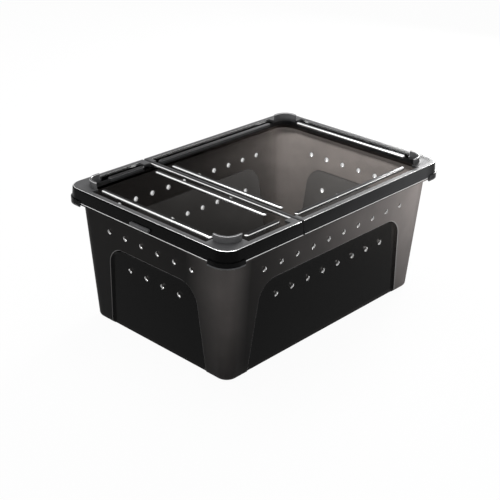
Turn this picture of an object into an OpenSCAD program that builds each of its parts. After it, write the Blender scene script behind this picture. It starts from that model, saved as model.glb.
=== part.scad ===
// Stackable reptile and insect keeper: a vented tub and a lid in two halves.
// Millimetres. +Z is up. The origin is the middle of the footprint, on the surface it stands on.
// X runs along the length. The small lid half, the hatch, is at the -X end.

/* [Tub] */
// Length of the tub at its foot
tub_len_foot = 286; // [280:1:288]
// Width of the tub at its foot
tub_wid_foot = 190; // [184:1:192]
// Length of the tub at the level of the lid's top face
tub_len_top = 307; // [304:1:308]
// Width of the tub at the level of the lid's top face
tub_wid_top = 208; // [205:1:208]
// Plan radius of the tub's corners at the foot
tub_r_foot = 12; // [10:0.5:14]
// Plan radius of the tub's corners at the top
tub_r_top = 17; // [15:0.5:18]
// Rounding of the edge between the walls and the floor
foot_round = 4; // [3:0.5:5]
// Thickness of the walls and the floor
wall = 2; // [1.6:0.1:2.2]
// How far the window panels sit behind the corner posts
recess_depth = 3; // [2:0.5:3.5]

/* [Vents] */
// Diameter of a vent hole
vent_d = 5; // [4:0.5:6]
// Distance from one vent hole to the next
vent_pitch = 22.75; // [21:0.25:23.5]
// Height of the upper row of vents
vent_z_high = 108; // [106:1:112]
// Height of the lower row of vents
vent_z_low = 72; // [60:1:76]

/* [Lid] */
// Length of the closed lid at its top edge
lid_len = 320; // [319:0.5:322]
// Width of the closed lid at its top edge
lid_wid = 220; // [219:0.5:222]
// Plan radius of the lid's corners
lid_r = 16; // [15:0.5:18]
// Height of the lid's top face above the floor
lid_top_z = 144.5; // [144:0.5:148]
// Height of the lid's skirt
skirt_h = 13.5; // [12.5:0.5:14]
// How far the lid's panels sit below its top face
panel_drop = 2.5; // [2:0.1:2.8]
// Where the lid is split, measured along the length
seam_x = -59.5; // [-62:0.5:-58]
// Height of the stacking lugs above the lid's top face
lug_h = 6.5; // [5:0.5:8]

/* [Hidden] */

arc_steps = 12;
fine = 48;
over = 20;

smoke = [0.36, 0.34, 0.34];
smoke_dark = [0.16, 0.16, 0.17];

// Lid: heights and thicknesses
lid_wall = 2;
panel_z = lid_top_z - panel_drop;
under_z = panel_z - lid_wall;
skirt_z = lid_top_z - skirt_h;
skirt_flare = 0.8;
edge_round = 2;
band_w = 6.7;
groove_in = 5.3;
locator_in = 9.8;
locator_t = 1.6;
locator_h = 4;
locator_gap = [-68, -54];

// Lid: grip lips at the corners and tabs at the ends
lip_out = 1.2;
lip_in = 0.8;
lip_len = 22;
lip_low_z = skirt_z - 3.4;
lip_high_z = skirt_z + 3;
tab_half = 13;
tab_out = 3.6;
tab_z = skirt_z + 3.2;
tab_t = 2.4;

// Lid: stacking lugs and the pads they stand on
lug_x = 147;
lug_y = 98;
lug_t = 2;
lug_r = 14;
lug_end_x = 128;
lug_end_y = 79.5;
pad_end = 1.5;

// Lid: stiffening ribs, with rounded ends
rib_w = 5;
rib_top_z = lid_top_z + 0.3;
rib_crown = 1;
end_rib_x = 142.8;
side_rib_y = 92.9;
cross_rib_len = 150;
small_side_ribs = [-120, -75];
large_side_ribs = [-52.5, 116];
small_seam_rib_x = -72.8;
large_seam_rib_x = -50;

// Lid: the seam. The hatch's edge is a quarter round about the hinge axis.
seam_gap = 0.5;
slot_w = 2.5;
slot_y = 107.7;
ridge_w = 2.7;
seam_round = 2;
pivot_drop = 3;
pivot_x = seam_x - seam_gap / 2 - pivot_drop;
pivot_z = lid_top_z - pivot_drop;

// Lid: pads over the hinge, with the pins and snap hooks below them
hinge_pad_in = 95.8;
small_pad_x = -70.5;
large_pad_x = -54;
hook_y = 99.5;
hook_t = 2.5;
hook_r = 1.9;
hook_reach = 6;
hook_low = 3.6;
pin_r = 1;
pin_fit = 0.05;
mouth_w = 1.4;
pocket_w = 3.5;
pocket_skin = 0.8;
pocket_back = 2.4;

// Tub: rim and ledge. The lid's skirt comes down to the ledge.
rim_gap = 2.2;
rim_z = under_z - rim_gap;
ledge_gap = 0.6;
ledge_t = 2;
ledge_in = 0.6;

// Tub: windows, given as half width near the foot, half width high up, and crown height
long_window = [115.4, 106, 94.5];
short_window = [67.6, 60, 92.5];
window_low_z = 4;
window_high_z = 88;
window_r = 19;
long_vents = [10, 8];
short_vents = [6, 4];

function lerp(a, b, t) = a + (b - a) * t;

// Rounded rectangle at one height, anticlockwise from above
function ring(hx, hy, r, z) = [
    for (q = [0:3]) for (i = [0:arc_steps])
        let (
            sx = (q == 0 || q == 3) ? 1 : -1,
            sy = (q < 2) ? 1 : -1,
            a = 90 * (q + i / arc_steps)
        )
        [sx * (hx - r) + r * cos(a), sy * (hy - r) + r * sin(a), z]
];

// Solid skinned through a stack of rings with equal numbers of points
module loft(rings) {
    n = len(rings[0]);
    m = len(rings);
    polyhedron(
        points = [for (g = rings) each g],
        faces = [
            [for (i = [0:n - 1]) i],
            for (k = [0:m - 2], i = [0:n - 1])
                let (j = (i + 1) % n)
                [k * n + i, (k + 1) * n + i, (k + 1) * n + j, k * n + j],
            [for (i = [n - 1:-1:0]) (m - 1) * n + i]
        ]
    );
}

// Upright slab with rounded corners
module slab(hx, hy, r, z0, z1) {
    translate([0, 0, z0]) linear_extrude(z1 - z0) {
        square([2 * hx, 2 * (hy - r)], center = true);
        square([2 * (hx - r), 2 * hy], center = true);
        for (sx = [-1, 1], sy = [-1, 1])
            translate([sx * (hx - r), sy * (hy - r)]) circle(r, $fn = fine);
    }
}

// Blocks that cover the four corners beyond x and y
module corner_blocks(x, y, z0, z1) {
    for (sx = [-1, 1], sy = [-1, 1])
        translate([sx * (x + lid_len / 2), sy * (y + lid_wid / 2), (z0 + z1) / 2])
            cube([lid_len, lid_wid, z1 - z0], center = true);
}

// Wall of the tub at a height: half sizes and plan radius
function tub_hx(z) = lerp(tub_len_foot, tub_len_top, z / lid_top_z) / 2;
function tub_hy(z) = lerp(tub_wid_foot, tub_wid_top, z / lid_top_z) / 2;
function tub_r(z) = lerp(tub_r_foot, tub_r_top, z / lid_top_z);
function wall_ring(z, inset) = ring(tub_hx(z) - inset, tub_hy(z) - inset, tub_r(z) - inset, z);

// Wall from a rounded foot edge up to z1, set in from the outer face
module tub_body(z0, z1, inset, r) {
    loft(concat(
        [for (a = [0:22.5:90]) wall_ring(z0 + r * (1 - cos(a)), inset + r * (1 - sin(a)))],
        [wall_ring(z1, inset)]
    ));
}

// Outline of a window, grown by g, on the surface set in by d behind a wall.
// The sides lean with the wall's draft and meet the crown in arcs.
function window_ring(w, foot_half, top_half, g, d) =
    let (
        lean = (w[0] - w[1]) / (window_high_z - window_low_z),
        tilt = atan(lean),
        cz = w[2] - window_r,
        cx = w[0] - lean * (cz - window_low_z) - window_r / cos(tilt),
        foot_x = w[0] + lean * (window_low_z + over) + g / cos(tilt),
        r = window_r + g,
        arc = [for (i = [0:arc_steps]) lerp(tilt, 90, i / arc_steps)],
        flat = concat(
            [[-foot_x, -over], [foot_x, -over]],
            [for (a = arc) [cx + r * cos(a), cz + r * sin(a)]],
            [for (i = [arc_steps:-1:0]) [-cx - r * cos(arc[i]), cz + r * sin(arc[i])]]
        )
    )
    [for (p = flat) [p[0], d - lerp(foot_half, top_half, p[1] / lid_top_z), p[1]]];

// Cutter of one window in a wall that faces -Y. Its step slopes at 45 degrees and runs on
// a little way in front of the wall's face.
module window_cutter(w, foot_half, top_half, g, d) {
    beyond = 1;
    loft([
        window_ring(w, foot_half, top_half, g - recess_depth, d + recess_depth),
        window_ring(w, foot_half, top_half, g + beyond, d - beyond),
        window_ring(w, foot_half, top_half, g + beyond, -over)
    ]);
}

// The four windows. Behind them the inner face follows one wall's thickness further in.
module windows(g, d) {
    for (turn = [0, 180]) {
        rotate(turn) window_cutter(long_window, tub_wid_foot / 2, tub_wid_top / 2, g, d);
        rotate(turn + 90) window_cutter(short_window, tub_len_foot / 2, tub_len_top / 2, g, d);
    }
}

module vent_row(count, z, half) {
    for (i = [0:count - 1])
        translate([(i - (count - 1) / 2) * vent_pitch, -half, z])
            rotate([90, 0, 0]) cylinder(h = 4 * over / 3, d = vent_d, center = true, $fn = fine);
}

module vents() {
    for (turn = [0, 180]) {
        rotate(turn) {
            vent_row(long_vents[0], vent_z_high, tub_hy(vent_z_high));
            vent_row(long_vents[1], vent_z_low, tub_hy(vent_z_low));
        }
        rotate(turn + 90) {
            vent_row(short_vents[0], vent_z_high, tub_hx(vent_z_high));
            vent_row(short_vents[1], vent_z_low, tub_hx(vent_z_low));
        }
    }
}

// Ledge outside the wall, just under the lid's skirt
module tub_ledge() {
    top = skirt_z - ledge_gap;
    slab(lid_len / 2 - ledge_in, lid_wid / 2 - ledge_in, lid_r - ledge_in, top - ledge_t, top);
}

module tub() {
    // A wall's thickness, measured square to the 45 degree step
    step = wall * (sqrt(2) - 1);
    color(smoke) difference() {
        union() {
            difference() {
                tub_body(0, rim_z, 0, foot_round);
                windows(0, 0);
            }
            tub_ledge();
        }
        difference() {
            tub_body(wall, rim_z + 1, wall, foot_round - wall);
            windows(step, wall);
        }
        vents();
    }
}

// Outer skin of the closed lid, from the skirt's edge to the rounded top edge
function lid_ring(z, inset) =
    let (flare = skirt_flare * (lid_top_z - z) / skirt_h)
    ring(lid_len / 2 + flare - inset, lid_wid / 2 + flare - inset, lid_r + flare - inset, z);

module lid_skin() {
    loft(concat(
        [lid_ring(skirt_z, 0)],
        [for (a = [0:22.5:90])
            lid_ring(lid_top_z - edge_round * (1 - sin(a)), edge_round * (1 - cos(a)))]
    ));
}

// L-shaped lugs at the corners that hold the foot of a tub stacked on top
module lugs(z0, z1) {
    intersection() {
        difference() {
            slab(lug_x, lug_y, lug_r, z0, z1);
            slab(lug_x - lug_t, lug_y - lug_t, lug_r - lug_t, z0 - 1, z1 + 1);
        }
        corner_blocks(lug_end_x, lug_end_y, z0, z1);
    }
}

// Raised ground under the lugs, at the level of the band
module lug_pads() {
    difference() {
        corner_blocks(lug_end_x - pad_end, lug_end_y - pad_end, panel_z - 1, lid_top_z + 2);
        slab(lug_x - lug_t, lug_y - lug_t, lug_r - lug_t, panel_z - 2, lid_top_z + 3);
    }
}

// Raised ground over the hinge at each end of the seam, and the ridge between them
module seam_ground() {
    for (side = [-1, 1])
        translate([small_pad_x, min(side * hinge_pad_in, side * lid_wid / 2), panel_z - 1])
            cube([large_pad_x - small_pad_x, lid_wid / 2 - hinge_pad_in, panel_drop + 3]);
    translate([seam_x - ridge_w, -lid_wid / 2, panel_z - 1])
        cube([2 * ridge_w, lid_wid, panel_drop + 3]);
}

// Half of a rib's section, from its centre line outwards, rounded at the top
module rib_section() {
    sunk = rib_top_z - panel_z + 0.5;
    square([rib_w / 2, sunk - rib_crown]);
    square([rib_w / 2 - rib_crown, sunk]);
    translate([rib_w / 2 - rib_crown, sunk - rib_crown]) intersection() {
        circle(rib_crown, $fn = fine);
        square(rib_crown);
    }
}

// Rib of a length along X, with rounded ends, standing on the panel
module rib(length) {
    run = length - rib_w;
    translate([0, 0, panel_z - 0.5]) {
        translate([-run / 2, 0, 0]) rotate([90, 0, 90]) linear_extrude(run) {
            rib_section();
            mirror([1, 0]) rib_section();
        }
        for (x = [-run / 2, run / 2])
            translate([x, 0, 0]) rotate_extrude($fn = fine) rib_section();
    }
}

// Pair of ribs along the front and back, over a span of X
module side_ribs(span) {
    for (side = [-1, 1])
        translate([(span[0] + span[1]) / 2, side * side_rib_y, 0]) rib(span[1] - span[0]);
}

// Rib across the lid
module cross_rib(x) {
    translate([x, 0, 0]) rotate(90) rib(cross_rib_len);
}

// One half of the lid, side -1 or 1, with a slot between the two skirts
module lid_half(side) {
    x0 = seam_x + side * seam_gap / 2;
    difference() {
        intersection() {
            lid_shell();
            translate([x0 + side * lid_len / 2, 0, lid_top_z])
                cube([lid_len, 2 * lid_wid, 2 * over], center = true);
        }
        for (end = [-1, 1])
            translate([seam_x, end * (slot_y + over / 2), lid_top_z - over / 2])
                cube([slot_w, over, 2 * over], center = true);
    }
}

// What is cut away to round a seam edge, side -1 for the hatch and 1 for the large half
module seam_edge(side, r) {
    translate([seam_x + side * (seam_gap / 2 + r), lid_wid, lid_top_z - r]) rotate([90, 0, 0])
        linear_extrude(2 * lid_wid) difference() {
            translate([side < 0 ? 0 : -r - 1, 0]) square(r + 1);
            circle(r, $fn = 2 * fine);
        }
}

// Everything that both halves share, before the lid is cut at the seam
module lid_shell() {
    half_x = lid_len / 2;
    half_y = lid_wid / 2;
    difference() {
        union() {
            // Skirt and band, hollow below
            difference() {
                lid_skin();
                loft([lid_ring(skirt_z - 1, lid_wall), lid_ring(lid_top_z - lid_wall, lid_wall)]);
            }
            // Panel, which leaves a groove under the band
            slab(half_x - groove_in, half_y - groove_in, lid_r - groove_in, under_z, lid_top_z - 1);
        }
        // Sunken tray inside the band, with the pads left standing
        difference() {
            slab(half_x - band_w, half_y - band_w, lid_r - band_w, panel_z, lid_top_z + 1);
            lug_pads();
            seam_ground();
        }
    }
    lugs(panel_z - 1, lid_top_z + lug_h);
    // Locating wall that drops inside the tub's rim, left open at the seam
    difference() {
        slab(half_x - locator_in, half_y - locator_in, lug_r, under_z - locator_h, under_z + 1);
        slab(half_x - locator_in - locator_t, half_y - locator_in - locator_t, lug_r - locator_t,
            under_z - locator_h - 1, under_z);
        translate([locator_gap[0], -half_y, under_z - locator_h - 1])
            cube([locator_gap[1] - locator_gap[0], 2 * half_y, locator_h + 1]);
    }
    // Grip lips round the skirt's corners
    intersection() {
        difference() {
            slab(half_x + skirt_flare + lip_out, half_y + skirt_flare + lip_out,
                lid_r + 2, lip_low_z, lip_high_z);
            slab(half_x + skirt_flare - lip_in, half_y + skirt_flare - lip_in,
                lid_r, lip_low_z - 1, lip_high_z + 1);
        }
        corner_blocks(half_x - lip_len, half_y - lip_len, lip_low_z, lip_high_z);
    }
}

// Finger tab on the end of a skirt, side -1 or 1
module finger_tab(side) {
    root = lid_len / 2 - 1;
    tip = lid_len / 2 + tab_out;
    translate([0, 0, tab_z]) linear_extrude(tab_t) polygon([
        [side * root, -tab_half], [side * (tip - 1), -tab_half], [side * tip, -tab_half + 2],
        [side * tip, tab_half - 2], [side * (tip - 1), tab_half], [side * root, tab_half]
    ]);
}

// Pin or bore on the hinge axis, centred on the hook at y
module pivot_rod(r, y, length) {
    translate([pivot_x, y, pivot_z]) rotate([90, 0, 0])
        cylinder(h = length, r = r, center = true, $fn = fine);
}

// Room for a hook under the hatch's pad, open below and at the seam
module hook_pocket(y) {
    top = lid_top_z - pocket_skin;
    translate([pivot_x - pocket_back, y - pocket_w / 2, top - over])
        cube([pocket_back + over, pocket_w, over]);
}

// Snap hook on an arm below the seam. It is open towards the hatch and grips its pin.
module hook(y) {
    neck = 2;
    arm_t = 1;
    riser = 1.8;
    riser_h = hook_low - (pivot_z - under_z) + 0.2;
    difference() {
        translate([pivot_x, y + hook_t / 2, pivot_z]) rotate([90, 0, 0]) linear_extrude(hook_t)
            difference() {
                union() {
                    circle(hook_r, $fn = fine);
                    translate([-neck / 2, -hook_low]) square([neck, hook_low]);
                    translate([-neck / 2, -hook_low]) square([neck / 2 + hook_reach, arm_t]);
                    translate([hook_reach - riser, -hook_low]) square([riser, riser_h]);
                }
                translate([-over, -mouth_w / 2]) square([over, mouth_w]);
            }
        pivot_rod(pin_r + pin_fit, y, hook_t + 1);
    }
}

// The hatch: the smaller half of the lid, with a pin at each end of the seam
module small_lid() {
    color(smoke_dark) {
        difference() {
            union() {
                lid_half(-1);
                finger_tab(-1);
                cross_rib(-end_rib_x);
                cross_rib(small_seam_rib_x);
                side_ribs(small_side_ribs);
            }
            seam_edge(-1, pivot_drop);
            for (y = [-hook_y, hook_y]) hook_pocket(y);
        }
        for (y = [-hook_y, hook_y]) pivot_rod(pin_r, y, pocket_w + 1);
    }
}

// The larger half of the lid, with a hook for each pin
module large_lid() {
    color(smoke_dark) {
        difference() {
            union() {
                lid_half(1);
                finger_tab(1);
                cross_rib(end_rib_x);
                cross_rib(large_seam_rib_x);
                side_ribs(large_side_ribs);
            }
            seam_edge(1, seam_round);
        }
        for (y = [-hook_y, hook_y]) hook(y);
    }
}

tub();
small_lid();
large_lid();
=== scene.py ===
# %% [markdown]
# A stackable keeper box in smoky plastic
#
# The real box is three injection mouldings: a tapered tub with air vents, and a lid in two
# halves, of which the smaller one opens as a hatch. All three are the same dark, clear
# plastic. What makes it look real is not colour but thickness: the mould is polished where
# one looks in, and finely frosted on the bands and corners. So this lesson spends its time
# on exact rounded edges and on several finishes of one plastic. It starts from the packed
# frame, because every piece has to sit where its solid is. All measures of shapes are in
# millimetres.

# %% Load the frame
import math

import bmesh
import bpy
import numpy as np
from mathutils import Matrix, Vector


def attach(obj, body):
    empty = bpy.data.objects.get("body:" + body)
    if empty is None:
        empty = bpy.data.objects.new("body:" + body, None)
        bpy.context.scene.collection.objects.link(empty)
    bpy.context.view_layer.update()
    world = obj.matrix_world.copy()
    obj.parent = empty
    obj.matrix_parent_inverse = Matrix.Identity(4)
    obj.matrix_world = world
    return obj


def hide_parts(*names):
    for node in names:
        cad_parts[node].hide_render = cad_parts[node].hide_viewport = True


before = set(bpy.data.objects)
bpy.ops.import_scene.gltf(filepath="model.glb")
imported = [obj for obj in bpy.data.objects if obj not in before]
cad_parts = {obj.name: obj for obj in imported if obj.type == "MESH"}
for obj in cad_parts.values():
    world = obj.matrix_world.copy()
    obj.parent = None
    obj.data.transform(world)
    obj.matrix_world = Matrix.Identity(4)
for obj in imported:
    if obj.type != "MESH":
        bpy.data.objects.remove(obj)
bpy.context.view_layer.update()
MM = 0.001
print("frame nodes:", sorted(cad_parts))

# %% [markdown]
# Meshes from rings
#
# A moulding is a profile carried round a rounded rectangle. It could be a cube with bevels,
# but then its draft and radii would be hard to state. Here one ring of points is worked out
# for each point of the profile, and all rings have the same number of points, so that they
# can be stacked. A ring's corner is written once and mirrored, as the real outline is.


# %% Points of a ring
def on_circle(angles, radius=1.0, centre=(0, 0)):
    """Points of a circle at the angles: centre + radius x (cosine, sine)."""
    return np.stack([np.cos(angles), np.sin(angles)], 1) * radius + centre


def ring(half_x, half_y, radius, steps=12):
    """Rounded rectangle, anticlockwise: one corner's quarter circle, mirrored to the other three."""
    centre = (half_x - radius, half_y - radius)
    corner = on_circle(np.linspace(0, np.pi / 2, steps + 1), radius, centre)
    mirrored = corner[::-1] * [-1, 1]
    return np.concatenate([corner, mirrored, -corner, -mirrored])


def at_height(flat_ring, z):
    """The flat ring's points with one height added to each."""
    return np.column_stack([flat_ring, np.full(len(flat_ring), float(z))])


print("points of a ring with 12 steps to a corner:", len(ring(2, 1, 0.5)))

# %% [markdown]
# Faces between the rings
#
# Neighbouring rings are joined by four-sided faces, and the first and the last ring are
# closed by one flat face each, so that every stack is a closed solid, which a boolean can
# add or cut. Blender's bridge tool could do it, but faces worked out as whole arrays are
# fast and always come in the same order, so each row can be given its finish by its place.


# %% Rings to mesh
def ring_faces(rows, columns):
    """Quads between neighbouring closed rings. They face out of a stack that grows upwards."""
    k, i = np.meshgrid(np.arange(rows - 1), np.arange(columns), indexing="ij")
    j = (i + 1) % columns
    low, high = k * columns, (k + 1) * columns
    return np.stack([low + i, low + j, high + j, high + i], -1).reshape(-1, 4)


def closed_faces(rows, columns, first=0):
    """All faces of a stack whose points start at number first: the quads, then its two ends."""
    ends = np.stack([np.arange(columns)[::-1], np.arange(columns) + (rows - 1) * columns])
    return (ring_faces(rows, columns) + first).tolist() + (ends + first).tolist()


def make_object(name, points, faces, slots=0, finishes=()):
    """Mesh object from points in millimetres, stored in metres. slots gives each face's finish."""
    mesh = bpy.data.meshes.new(name)
    mesh.from_pydata((np.asarray(points) * MM).tolist(), [], faces)
    for finish in finishes:
        mesh.materials.append(finish)
    mesh.polygons.foreach_set("material_index", np.broadcast_to(slots, len(faces)).astype(np.int32))
    mesh.update()
    made = bpy.data.objects.new(name, mesh)
    bpy.context.scene.collection.objects.link(made)
    return made


def solid(name, rings, slots=None, finishes=()):
    """Closed solid from a stack of rings.

    slots gives the finish of the first end, of each row of faces, and of the last end.
    """
    stack = np.array(rings)
    rows, columns = stack.shape[:2]
    faces = closed_faces(rows, columns)
    marks = np.zeros(len(faces), int)
    if slots is not None:
        marks[:-2] = np.repeat(slots[1:-1], columns)
        marks[-2:] = slots[0], slots[-1]
    return make_object(name, stack.reshape(-1, 3), faces, marks, finishes)


print("faces of a stack of 3 rings with 4 points each:", len(closed_faces(3, 4)))

# %% [markdown]
# A short way to write nodes
#
# Each finish of the plastic is a small tree of nodes, and the studio's floor and sky are two
# more. They could be drawn by hand in the editor, but a script can be read and changed in
# one place. The class below holds the few steps that every tree needs: add a node, feed a
# socket with a number or with another node, and mix two colours or two shaders.


# %% Nodes of a material or a world
class Nodes:
    """An emptied node tree and the ways to fill it. Where a value is asked for, a socket will do too."""

    def __init__(self, owner):
        """Empties the tree of a material or a world."""
        owner.use_nodes = True
        self.tree = owner.node_tree
        self.tree.nodes.clear()

    def add(self, kind, **values):
        """New shader node with its inputs set. An underscore stands for a space in an input's name."""
        made = self.tree.nodes.new("ShaderNode" + kind)
        for key, value in values.items():
            made.inputs[key.replace("_", " ")].default_value = value
        return made

    def feed(self, socket, value):
        """Links the value to the socket where it is a socket itself, and otherwise sets it."""
        if isinstance(value, bpy.types.NodeSocket):
            self.tree.links.new(value, socket)
        else:
            socket.default_value = value

    def maths(self, operation, *values, clamp=False):
        """Result of one Math node."""
        made = self.add("Math")
        made.operation, made.use_clamp = operation, clamp
        for socket, value in zip(made.inputs, values):
            self.feed(socket, value)
        return made.outputs[0]

    def ramp(self, value, run):
        """0 where the value is at the run's start, 1 at its end, straight between and level beyond."""
        made = self.add("MapRange", From_Min=run[0], From_Max=run[1])
        self.feed(made.inputs["Value"], value)
        return made.outputs["Result"]

    def noise(self, scale, detail):
        """Soft noise from 0 to 1 on Object coordinates, with about scale lumps to a metre."""
        made = self.add("TexNoise", Scale=scale, Detail=detail)
        self.feed(made.inputs["Vector"], self.add("TexCoord").outputs["Object"])
        return made.outputs["Fac"]

    def blend(self, how, share, first, second):
        """Colour from two colours, by the kind of mix that how names."""
        made = self.add("Mix")
        made.data_type, made.blend_type = "RGBA", how
        for name, value in (("Factor", share), ("A", first), ("B", second)):
            self.feed(made.inputs[name], value)
        return made.outputs["Result"]

    def mix(self, share, first, second):
        """Shader = (1 - share) x first + share x second."""
        made = self.add("MixShader")
        for socket, value in zip(made.inputs, (share, first, second)):
            self.feed(socket, value)
        return made.outputs[0]

    def end(self, shader, kind="OutputMaterial"):
        """Ends the tree: the shader goes to its output."""
        self.feed(self.add(kind).inputs["Surface"], shader)


print("ways to fill a node tree:", sum(not key.startswith("_") for key in vars(Nodes)))

# %% [markdown]
# Mottle and grain
#
# Moulded plastic is never one even colour. Slow clouds come from the way it flowed into the
# mould, and its frosted faces have a fine grain that breaks up a highlight. Both could be
# painted, but noise on Object coordinates needs no unwrapping, has the same scale on every
# piece, and stays on the piece when the piece moves.

# %% Mottle and grain
DARK_SIDE, CLOUD_DETAIL, GRAIN_DETAIL = 1.5, 5, 2
WARM_FROM, WARM = 0.15, (1.15, 0.95, 0.9)
GRAIN_PER_METRE, GRAIN_DEPTH = 1400, 0.0002


def mottled(nodes, colour, spread, scale):
    """Colour from 1 - 1.5 x spread to 1 + spread times itself, by soft noise.

    A wide spread also leans a little to red on its light side.
    """
    lean = WARM if spread > WARM_FROM else (1, 1, 1)
    dark = [c * (1 - DARK_SIDE * spread) for c in colour]
    light = [min(c * (1 + spread * more), 1) for c, more in zip(colour, lean)]
    return nodes.blend("MIX", nodes.noise(scale, CLOUD_DETAIL), (*dark, 1), (*light, 1))


def grain_bump(nodes, strength):
    """Fine moulded grain as a bump, from noise with lumps of about 0.7 mm."""
    bump = nodes.add("Bump", Strength=strength, Distance=GRAIN_DEPTH)
    nodes.feed(bump.inputs["Height"], nodes.noise(GRAIN_PER_METRE, GRAIN_DETAIL))
    return bump.outputs["Normal"]


print("grain lumps of", round(1000 / GRAIN_PER_METRE, 2), "mm")

# %% [markdown]
# The fall of light
#
# Light enters clear plastic at the bright end and is swallowed on its way along the box, so
# the far end and the foot are darker. It could come from a real volume, but that is slow and
# noisy. Here it is a factor of the place, read from Object coordinates. Being painted on, it
# keeps the same end lighter under other lamps too.

# %% Fall of light
# Metres along X, Y and Z between which the factors of the painted light and shade run from 0 to 1.
FALL_X, RIGHT_WALL_X, RISE_Z = (-0.17, 0.14), (0.132, 0.148), (0, 0.13)
POST_X, POST_Y = (-0.12, -0.142), (-0.05, -0.09)
# Painted shade: the colour's share at the foot and at the lid.
FOOT_SHARE, LID_SHARE = 0.5, 1.18


def painted_light_fall(nodes, colour, least, post, power=2.3, right=1.0):
    """Colour x (least + (1 - least) x t to the power + post x c) x h x e: painted light and shade.

    t runs from 0 at the left end to 1 near the right end, a painted fall of the light from the right,
    and c from 0 to 1 towards the front left post, a painted light on that corner. h runs from 0.5
    at the foot to 1.18 at the lid, painted shade low down. e falls from 1 to right where the front
    and the back turn into the right wall, which faces the light: painted shade there.
    """
    split = nodes.add("SeparateXYZ")
    nodes.feed(split.inputs[0], nodes.add("TexCoord").outputs["Object"])
    x, y, z = split.outputs
    along = nodes.maths("POWER", nodes.ramp(x, FALL_X), power)
    corner = nodes.maths("MULTIPLY", nodes.ramp(x, POST_X), nodes.ramp(y, POST_Y))
    fallen = nodes.maths("MULTIPLY_ADD", along, 1 - least, least)
    level = nodes.maths("MULTIPLY_ADD", corner, post, fallen)
    height = nodes.maths("MULTIPLY_ADD", nodes.ramp(z, RISE_Z), LID_SHARE - FOOT_SHARE, FOOT_SHARE)
    turned = nodes.maths("MULTIPLY_ADD", nodes.ramp(x, RIGHT_WALL_X), right - 1, 1)
    factor = nodes.maths("MULTIPLY", nodes.maths("MULTIPLY", level, height), turned)
    return nodes.blend("MULTIPLY", 1, colour, factor)


print("light falls over", round(FALL_X[1] - FALL_X[0], 3), "m of the length")

# %% [markdown]
# Polished faces
#
# The windows, the panels and the thin edges are as smooth as the mould's steel. What lies
# behind is seen through them, tinted, and the face mirrors a little more the flatter one
# looks along it. A glass shader would bend light at each of the many walls and fill the
# picture with noise. A plain see-through shader mixed with a gloss gives the same look with
# clean edges. Thin edges and the flanks that face the light get a mirror share far above the
# plastic's own, a painted highlight for the light that they gather inside the wall and shine
# with, as the edge of a glass plate does.

# %% Polished
CLEAR_SPREAD, CLEAR_SCALE = 0.06, 30
HALF_FACING, STEEPNESS = 0.5, 5


def polished(name, tint, rough, head_on=0.0, edge_on=0.0, fade=None):
    """See-through face. Light = (1 - F) x tint x what is behind + F x mirror image.

    F = head_on + (edge_on - head_on) x (1 - cosine of the angle of view) to the power of 5,
    from either side. The last argument gives least and post of the painted fall of light.
    """
    made = bpy.data.materials.new(name)
    nodes = Nodes(made)
    colour = mottled(nodes, tint, CLEAR_SPREAD, CLEAR_SCALE)
    see = nodes.add("BsdfTransparent")
    nodes.feed(see.inputs["Color"], painted_light_fall(nodes, colour, *fade) if fade else colour)
    gloss = nodes.add("BsdfAnisotropic", Roughness=rough, Color=(1, 1, 1, 1))
    facing = nodes.add("LayerWeight", Blend=HALF_FACING).outputs["Facing"]
    steep = nodes.maths("POWER", facing, STEEPNESS)
    share = nodes.maths("MULTIPLY_ADD", steep, edge_on - head_on, head_on)
    nodes.end(nodes.mix(share, see.outputs["BSDF"], gloss.outputs["BSDF"]))
    return made


print("polished finish: mirror share rises with the power of", STEEPNESS)

# %% [markdown]
# Frosted faces
#
# The bands and corners are finely etched in the mould. They scatter: part of the light comes
# back as a soft grey, part glows through from behind, and a little is still seen through.
# Subsurface scattering could do this, but on a 2 mm wall it is slow and blurs the vents'
# edges. So three plain shaders are mixed: an opaque body, a translucent glow and a
# see-through share. The painted fall of light along the box is steeper for the glow than for
# the body.

# %% Frosted
# How steeply the painted fall of light drops along the box, and how far it darkens the right wall.
GLOW_FALL = {"power": 5, "right": 0.8}
BODY_FALL = {"power": 2.0, "right": 0.16}


def frosted(name, body, glow, glow_share, tint, see_share, rough, grain=0.35, vary=0.12, scale=45,
            fade=None, index=1.49):
    """Scattering face: shares of what is seen through it, of light glowing through, and of its own body.

    Light = see_share x tint x behind + (1 - see_share) x scattered, where
    scattered = glow_share x glow + (1 - glow_share) x body and gloss.
    """
    made = bpy.data.materials.new(name)
    nodes = Nodes(made)
    see = nodes.add("BsdfTransparent", Color=(*tint, 1))
    shine = nodes.add("BsdfTranslucent")
    shell = nodes.add("BsdfPrincipled", Roughness=rough, IOR=index)
    bump = grain_bump(nodes, grain)
    for shader, socket, plain, fall in ((shine, "Color", glow, GLOW_FALL),
                                        (shell, "Base Color", body, BODY_FALL)):
        colour = mottled(nodes, plain, vary, scale)
        nodes.feed(shader.inputs[socket], painted_light_fall(nodes, colour, *fade, **fall) if fade else colour)
        nodes.feed(shader.inputs["Normal"], bump)
    scattered = nodes.mix(glow_share, shell.outputs["BSDF"], shine.outputs["BSDF"])
    nodes.end(nodes.mix(see_share, scattered, see.outputs["BSDF"]))
    return made


print("frosted finish: body, glow and a see-through share")

# %% [markdown]
# The finishes of the tub and the lid
#
# One plastic, eleven finishes. The tub's frost is warm and light, its windows deep and
# clear. The inside, the foot and the lid's panels have no mirror share, because the few rays
# that they would mirror come back so bright that they leave white dots. The lid is cooler
# and darker, and its lugs get a lighter finish, partly painted light, because they catch
# more light than its skirt. The shining finish of edges and lit flanks and the tub's bright
# line at the windows' outline are painted highlights. Each piece carries its whole list,
# and every face holds a number into it, which also survives the booleans.

# %% Finishes
SMOKE = (0.24, 0.232, 0.226)
TEA = (0.3, 0.28, 0.27)


def grey(level):
    """Colour with the same level in red, green and blue."""
    return level, level, level


# Numbers of the finishes in each list. The shining edge finish is a painted highlight.
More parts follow.
